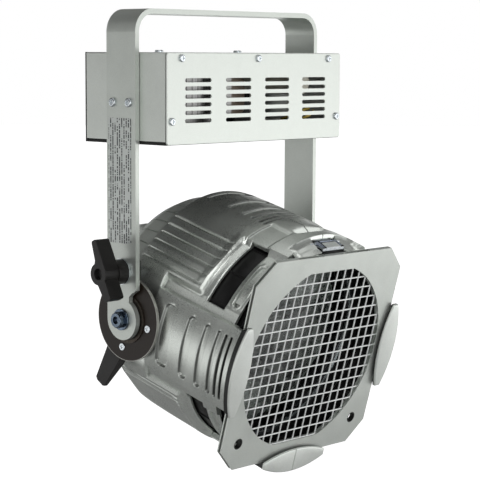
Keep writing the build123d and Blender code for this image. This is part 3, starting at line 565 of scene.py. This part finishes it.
def shell_grid():
    a_marks = []
    for start, width in TOP_BANDS + SIDE_BANDS:
        near = (-0.5, 0, 0.5, 1.1) if width > 3.5 else (-0.4, 0, 0.5)
        a_marks.append((start, near))
        a_marks.append((start + width, tuple(-o for o in near)))
    a_marks += [(A_REAR, (0, 0.15, 0.5, 1.1)), (A_HOOD, (-1.1, -0.5, -0.15, 0))]
    a_marks += [(A_WIN, (0, 0.15, 0.5, 1.1)), (A_CHEEK, (-1, -0.5, 0, 0.4, 0.8)), (107.5, (0,))]
    a_marks += [(A_COLLAR, (0,)), (110.2, (0, 1.0)), (102.5, (0, 0.9, 2.1, 3.5, 5.0))]
    a_marks += [(A_FRONT, (0,)), (103.0, (0,)), (87, (-0.5, 0, 0.5)), (78, (0,)), (96, (0,))]
    a_marks += [(99.2, (-5, -4, -3.3, -2.4, -1.2, 0, 1.2, 2.4, 3.3, 4, 5)), (-16.6, (-0.4, 0, 0.5, 1.2))]
    a_marks += [(57.8, (-6, -4.6, -3.2, -1.9, -0.9, 0, 0.9, 1.7, 2.3, 2.9, 3.5, 4.3)),
                (A_SILL, (-5, -3.5, -2.2, -1.1, -0.5, -0.15, 0))]
    p_marks = [(0, (0, 0.15, 0.35, 0.7)), (180, (0, -0.15, -0.35, -0.7)), (NOTCH, (0,)), (180 - NOTCH, (0,))]
    for angle in GROOVES:
        p_marks.append((angle, (-0.72, -0.45, -0.15, 0.15, 0.45, 0.72)))
    for angle in FINE_GROOVES:
        p_marks.append((angle, (-0.65, -0.35, 0, 0.35, 0.65)))
    for lo, hi in WINDOWS:
        p_marks += [(lo, (-0.6, -0.25, -0.08, 0)), (hi, (0, 0.08, 0.25, 0.6))]
    for lo, hi in CORNER_GAPS:
        p_marks += [(lo, (0,)), (hi, (0,))]
    for s in (-1, 1):
        near = [s * (CHEEK_HALF + o) for o in (-0.9, -0.45, -0.2, 0.05, 0.3, 0.55, 1.0)]
        near += [s * o for o in (12.8, 13.6, 14.3, 14.9, 15.4, 15.8, 25.0, 26.0, 27.0, 28.0)]
        p_marks.append((90, tuple(near)))
    for base, s in ((0, 1), (180, -1)):
        near = [s * o for o in (10, 10.5, 11, 13, 13.7, 14.4, 15, 15.6, 16)]
        near += [s * o for o in (25.5, 37, 37.6, 38.4, 60.4, 61.2, 62)]
        p_marks.append((base, tuple(near)))
    return lines(A_REAR, A_CHEEK_END, 3.0, a_marks, 0.12), lines(0, 180, 2.2, p_marks, 0.06)


def make_shell(name, sign, node):
    rows, cols = shell_grid()
    a, p = np.meshgrid(rows, cols, indexing="ij")
    am, pm = (a[:-1, :-1] + a[1:, 1:]) / 2, (p[:-1, :-1] + p[1:, 1:]) / 2
    top = np.minimum(pm, 180 - pm)
    side = np.abs(pm - 90)
    solid = np.ones(am.shape, bool)
    for lo, hi in WINDOWS:
        solid &= ~((am > A_SILL) & (am < A_WIN) & (pm > lo) & (pm < hi))
    for lo, hi in CORNER_GAPS:
        solid &= ~((am > 107.5) & (pm > lo) & (pm < hi))
    solid &= ~((am > 103.0) & (pm < NOTCH))
    solid &= ~((am > A_COLLAR) & (side > CHEEK_HALF) & (top > 25.5))
    solid &= ~((am > A_FRONT) & (side > CHEEK_HALF))
    count = a.size
    points = []
    for r in (outer(a, p), inner(a, p)):
        x = sign * r * np.sin(p * DEG)
        points.append(np.stack([x, -a, r * np.cos(p * DEG)], -1).reshape(-1, 3))
    co = np.concatenate(points) * MM
    n = a.shape[1]
    i, j = np.nonzero(solid)
    v0 = i * n + j
    quads = np.stack([v0, v0 + 1, v0 + n + 1, v0 + n], -1)
    if sign < 0:
        quads = quads[:, ::-1]
    faces = [quads, quads[:, ::-1] + count]
    padded = np.pad(solid, 1)
    sides = [(-1, 0, (0, 1), (0, 0)), (1, 0, (1, 0), (1, 1))]
    sides += [(0, -1, (0, 0), (1, 0)), (0, 1, (1, 1), (0, 1))]
    for di, dj, c0, c1 in sides:
        edge = padded[1:-1, 1:-1] & ~padded[1 + di:padded.shape[0] - 1 + di, 1 + dj:padded.shape[1] - 1 + dj]
        i, j = np.nonzero(edge)
        e0 = (i + c0[0]) * n + j + c0[1]
        e1 = (i + c1[0]) * n + j + c1[1]
        wall = np.stack([e0, e1, e1 + count, e0 + count], -1)
        faces.append(wall[:, ::-1] if sign < 0 else wall)
    faces = np.concatenate(faces)
    used, index = np.unique(faces, return_inverse=True)
    me = bpy.data.meshes.new(name)
    me.from_pydata(co[used].tolist(), [], index.reshape(-1, 4).tolist())
    # painted shade along the arc outlines and the parting line, kept on the outer skin's vertices
    painted_outline_shade = np.concatenate([outline_shade(a, p).ravel(), np.zeros(count)])[used]
    me.attributes.new("painted_outline_shade", "FLOAT", "POINT").data.foreach_set("value", painted_outline_shade.astype(np.float32))
    me.transform(HEAD)
    me.update()
    o = bpy.data.objects.new(name, me)
    scene.collection.objects.link(o)
    finish_mesh(o, finishes["shell_cast"], 38)
    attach(o, "head")
    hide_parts(node)
    return o


def finish_mesh(o, material, angle=35):
    """Outward faces, smooth shading with sharp edges kept, one material."""
    bm = bmesh.new()
    bm.from_mesh(o.data)
    bmesh.ops.recalc_face_normals(bm, faces=bm.faces)
    bm.to_mesh(o.data)
    bm.free()
    o.data.polygons.foreach_set("use_smooth", [True] * len(o.data.polygons))
    o.data.set_sharp_from_angle(angle=math.radians(angle))
    o.data.materials.clear()
    o.data.materials.append(material)


def piece(name, bm, body, slot_name, material=None, matrix=HEAD):
    """A finished mesh that rides on a body."""
    me = bpy.data.meshes.new(name)
    bm.to_mesh(me)
    bm.free()
    me.transform(matrix)
    o = bpy.data.objects.new(name, me)
    scene.collection.objects.link(o)
    finish_mesh(o, material or mats[slot_name])
    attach(o, body)
    return o


def extruded(bm, outline, y0, y1, round_front=0.0):
    """Prism of an (x, z) outline in mm from y0 to y1, its y1 rim rounded."""
    low = [bm.verts.new((x * MM, y0 * MM, z * MM)) for x, z in outline]
    bottom = bm.faces.new(low)
    grown = bmesh.ops.extrude_face_region(bm, geom=[bottom])
    moved = [g for g in grown["geom"] if isinstance(g, bmesh.types.BMVert)]
    bmesh.ops.translate(bm, verts=moved, vec=(0, (y1 - y0) * MM, 0))
    if round_front:
        cap = set(moved)
        rim = [e for e in bm.edges if e.verts[0] in cap and e.verts[1] in cap]
        bmesh.ops.bevel(bm, geom=rim, offset=round_front * MM, segments=3, profile=0.5, affect="EDGES")


def arc_through(p0, p1, p2, n):
    """Points of the circle through three points."""
    ax, ay = p0
    bx, by = p1
    cx, cy = p2
    d = 2 * (ax * (by - cy) + bx * (cy - ay) + cx * (ay - by))
    sa, sb, sc = ax * ax + ay * ay, bx * bx + by * by, cx * cx + cy * cy
    ux = (sa * (by - cy) + sb * (cy - ay) + sc * (ay - by)) / d
    uy = (sa * (cx - bx) + sb * (ax - cx) + sc * (bx - ax)) / d
    r = math.hypot(ax - ux, ay - uy)
    t0, t1 = math.atan2(ay - uy, ax - ux), math.atan2(cy - uy, cx - ux)
    if t1 - t0 > math.pi:
        t1 -= 2 * math.pi
    if t0 - t1 > math.pi:
        t1 += 2 * math.pi
    turns = [t0 + (t1 - t0) * k / n for k in range(n + 1)]
    return [(ux + r * math.cos(t), uy + r * math.sin(t)) for t in turns]


def make_ears():
    """Front lugs that the colour frame stands behind: left, right and two halves below."""
    inner_arc = arc_through((-40, 93.6), (0, 86.5), (40, 93.6), 28)
    outer_arc = arc_through((40, 99.5), (0, 108.2), (-40, 99.5), 28)
    root_arc = arc_through((37.5, 100.6), (0, 108.1), (-37.5, 100.6), 20)
    for name, angle in (("frame_lug_right", 90), ("frame_lug_left", 270)):
        bm = bmesh.new()
        extruded(bm, inner_arc + outer_arc, -124.6, -128.0, 1.1)
        extruded(bm, [(-37.5, 96.2), (37.5, 96.2)] + root_arc, -121.5, -125.9)
        turn = Matrix.Rotation(angle * DEG, 4, "Y")
        piece(name, bm, "head", "cast_silver", finishes["lug_cast"], matrix=HEAD @ turn)
    bm = bmesh.new()
    split = 0.35
    for s in (-1, 1):
        half_in = [(x, z) for x, z in inner_arc if s * x > split]
        half_out = [(x, z) for x, z in outer_arc if s * x > split]
        if s > 0:
            outline = [(split, 86.5)] + half_in + half_out + [(split, 108.2)]
        else:
            outline = half_in + [(-split, 86.5), (-split, 108.2)] + half_out
        extruded(bm, outline, -125.4, -128.0, 1.1)
        rim = [p for p in root_arc if s * p[0] > split]
        if s > 0:
            base = [(split, 95.9), (37.5, 95.9)] + rim + [(split, 108.1)]
        else:
            base = [(-37.5, 95.9), (-split, 95.9), (-split, 108.1)] + rim
        extruded(bm, base, -111.0, -125.9)
    turn = Matrix.Rotation(math.pi, 4, "Y")
    piece("frame_lug_bottom", bm, "head", "cast_silver", finishes["lug_cast"], matrix=HEAD @ turn)


def lathe(bm, profile, steps, centre, axis):
    """Closed ring or solid from (radius, along) points in mm turned round an axis."""
    axis = Vector(axis).normalized()
    side = axis.orthogonal().normalized()
    other = axis.cross(side)
    rings = []
    for k in range(steps):
        t = 2 * math.pi * k / steps
        out = side * math.cos(t) + other * math.sin(t)
        rings.append([bm.verts.new((Vector(centre) + out * r + axis * h) * MM) for r, h in profile])
    for k in range(steps):
        one, two = rings[k], rings[(k + 1) % steps]
        for m in range(len(profile)):
            q = (m + 1) % len(profile)
            bm.faces.new((one[m], one[q], two[q], two[m]))
    bmesh.ops.remove_doubles(bm, verts=bm.verts, dist=1e-7)


def make_bosses():
    for name, s in (("pivot_boss_left", -1), ("pivot_boss_right", 1)):
        bm = bmesh.new()
        profile = [(5.1, 96.0), (20.0, 96.0), (20.0, 107.6), (19.4, 108.15), (5.1, 108.15)]
        lathe(bm, profile, 64, (0, 0, 0), (s, 0, 0))
        piece(name, bm, "head", "cast_silver")


def make_carrier():
    """Black ring between the reflector's flange and the lens ring."""
    bm = bmesh.new()
    profile = [(89.0, -59.0), (97.6, -59.0), (98.2, -59.6), (98.2, -64.4), (97.6, -65.0), (89.0, -65.0)]
    lathe(bm, profile, 126, (0, 0, 0), (0, 1, 0))
    # its near-black finish is painted shade for the shadowed space behind the windows
    piece("lens_carrier", bm, "head", "ring_black")


def bar(bm, p0, p1, r):
    """Round rod between two points in mm."""
    steps = 10
    start, end = Vector(p0), Vector(p1)
    way = (end - start).normalized()
    side = way.orthogonal().normalized()
    other = way.cross(side)
    ends = []
    for at in (start, end):
        ring = []
        for k in range(steps):
            t = 2 * math.pi * k / steps
            ring.append(bm.verts.new((at + (side * math.cos(t) + other * math.sin(t)) * r) * MM))
        ends.append(ring)
    for k in range(steps):
        q = (k + 1) % steps
        bm.faces.new((ends[0][k], ends[0][q], ends[1][q], ends[1][k]))
    bm.faces.new(ends[0][::-1])
    bm.faces.new(ends[1])


def solid_strip(bm, outline, x0, x1):
    """Prism along X of a (forward, up) outline in mm."""
    first = [bm.verts.new((x0 * MM, -a * MM, z * MM)) for a, z in outline]
    second = [bm.verts.new((x1 * MM, -a * MM, z * MM)) for a, z in outline]
    bm.faces.new(first)
    bm.faces.new(second[::-1])
    for k in range(len(outline)):
        q = (k + 1) % len(outline)
        bm.faces.new((first[q], first[k], second[k], second[q]))


def make_latch():
    """Sheet tongue of the latch with its folded lip, and two side rods with end caps."""
    bm = bmesh.new()
    tongue = [(109.6, 101.4), (116.2, 99.9), (117.2, 99.9), (117.2, 100.6), (116.4, 100.7), (109.8, 102.1)]
    solid_strip(bm, tongue, -8.0, 9.5)
    o = piece("latch_tongue", bm, "top_latch", "zinc", finishes["galvanised"])
    bevel = o.modifiers.new("round", "BEVEL")
    bevel.width, bevel.segments = 0.2 * MM, 2
    bm = bmesh.new()
    for x in (-10.4, -12.6, 10.4, 12.6):
        bar(bm, (x, -105.0, 101.8), (x, -117.0, 99.9), 0.8)
    piece("latch_rods", bm, "top_latch", "spring_steel")
    bm = bmesh.new()
    for x in (-10.4, -12.6, 10.4, 12.6):
        bar(bm, (x, -116.2, 100.1), (x, -117.3, 99.9), 1.05)
        bar(bm, (x, -104.6, 101.9), (x, -106.0, 101.6), 1.05)
    piece("latch_rod_ends", bm, "top_latch", "spring_steel", mats["black_plastic"])


make_shell("shell_left_skin", -1, "shell_left")
make_shell("shell_right_skin", 1, "shell_right")
make_ears()
make_bosses()
make_carrier()
make_latch()


# ------------------------------------------------------------ stage
FLOOR_Z = -1.35


def make_floor():
    """Grey disc that glows further out, and only further out still behind and to the left."""
    bm = bmesh.new()
    bmesh.ops.create_circle(bm, cap_ends=True, radius=30, segments=128)
    me = bpy.data.meshes.new("floor")
    bm.to_mesh(me)
    bm.free()
    o = bpy.data.objects.new("floor", me)
    o.location = (0, 0, FLOOR_Z)
    scene.collection.objects.link(o)
    t = Tree("floor_finish")
    out = t.xyz()
    far = t.math("SQRT", t.math("ADD", t.math("POWER", out["X"], 2), t.math("POWER", out["Y"], 2)))
    t.set(Base_Color=t.ramp(t.noise(2.0, 2.0), [(0.3, 0.52), (0.7, 0.56)]), Roughness=0.8)
    across = t.math("DIVIDE", t.math("SUBTRACT", out["X"], out["Y"]), t.math("ADD", far, 0.01))
    behind = t.remap(across, 0.2, -0.7, 0.0, 0.7, True)
    glow = t.remap(t.math("SUBTRACT", far, behind), 1.4, 3.6, 0.0, 1.0, True)
    t.set(Emission_Color=(1.0, 1.0, 1.0), Emission_Strength=glow)
    me.materials.append(t.mat)


def make_world():
    """White up to the horizon and near the zenith, dark between; 0.3 as bright behind and to the left."""
    world = bpy.data.worlds.new("studio")
    scene.world = world
    world.use_nodes = True
    t = Tree(None, world.node_tree)
    bg = t.tree.nodes["Background"]
    way = t.add("ShaderNodeTexCoord").outputs["Generated"]
    out = t.xyz(way)
    rise = t.ramp(t.math("MULTIPLY_ADD", out["Z"], 0.5, 0.5),
                  [(0.0, 1.0), (0.545, 1.0), (0.61, 0.50), (0.68, 0.10), (0.915, 0.10), (0.955, 0.90),
                   (1.0, 0.95)])
    across = t.math("MULTIPLY", t.math("SUBTRACT", out["X"], out["Y"]), math.sqrt(0.5))
    side = t.remap(across, -0.95, -0.2, 0.30, 1.0, True)
    t.link(t.mix(1.0, rise, t.ramp(side, [(0.0, 0.0), (1.0, 1.0)]), "MULTIPLY"), bg.inputs["Color"])
    bg.inputs["Strength"].default_value = 1.0


def area_light(name, place, target, size, watts):
    lamp = bpy.data.lights.new(name, "AREA")
    lamp.shape = "RECTANGLE"
    lamp.size, lamp.size_y = size
    lamp.energy = watts
    o = bpy.data.objects.new(name, lamp)
    o.location = place
    way = Vector(target) - Vector(place)
    o.rotation_mode = "QUATERNION"
    o.rotation_quaternion = way.to_track_quat("-Z", "Y")
    o.visible_camera = False
    scene.collection.objects.link(o)


CAMERA_ANGLES = (-46.7625, 6.29909, 0.258068)      # azimuth, elevation and roll in degrees
CAMERA_PLACE = (-1.08778, -1.05258, -0.03973)
CAMERA_LENS = 125.15


def make_camera():
    a, e, roll = (math.radians(v) for v in CAMERA_ANGLES)
    back = Vector((math.sin(a) * math.cos(e), -math.cos(a) * math.cos(e), math.sin(e)))
    right = Vector((math.cos(a), math.sin(a), 0))
    up = back.cross(right)
    turned_right = right * math.cos(roll) + up * math.sin(roll)
    turned_up = up * math.cos(roll) - right * math.sin(roll)
    data = bpy.data.cameras.new("camera")
    data.sensor_width = 36.0
    data.lens = CAMERA_LENS
    cam = bpy.data.objects.new("camera", data)
    scene.collection.objects.link(cam)
    m = Matrix((turned_right, turned_up, back)).transposed().to_4x4()
    m.translation = CAMERA_PLACE
    cam.matrix_world = m
    scene.camera = cam


make_floor()
make_world()
area_light("key_front_right", (1.2, -1.25, -0.35), (0, 0, -0.2), (1.2, 1.0), 3.2)
area_light("fill_front", (-0.5, -1.9, 0.35), (0, 0, -0.25), (0.9, 0.9), 5.4)
area_light("back_left", (-1.5, 0.9, 0.9), (0, 0, -0.25), (0.8, 0.8), 1.5)
area_light("left_high", (-1.05, -1.0, 1.0), (0, 0, -0.25), (0.5, 0.5), 3.4)
area_light("right_high", (1.5, -0.35, 1.2), (0, 0, -0.2), (0.7, 0.7), 2.6)
make_camera()
scene.view_settings.view_transform = "Standard"
scene.view_settings.look = "None"
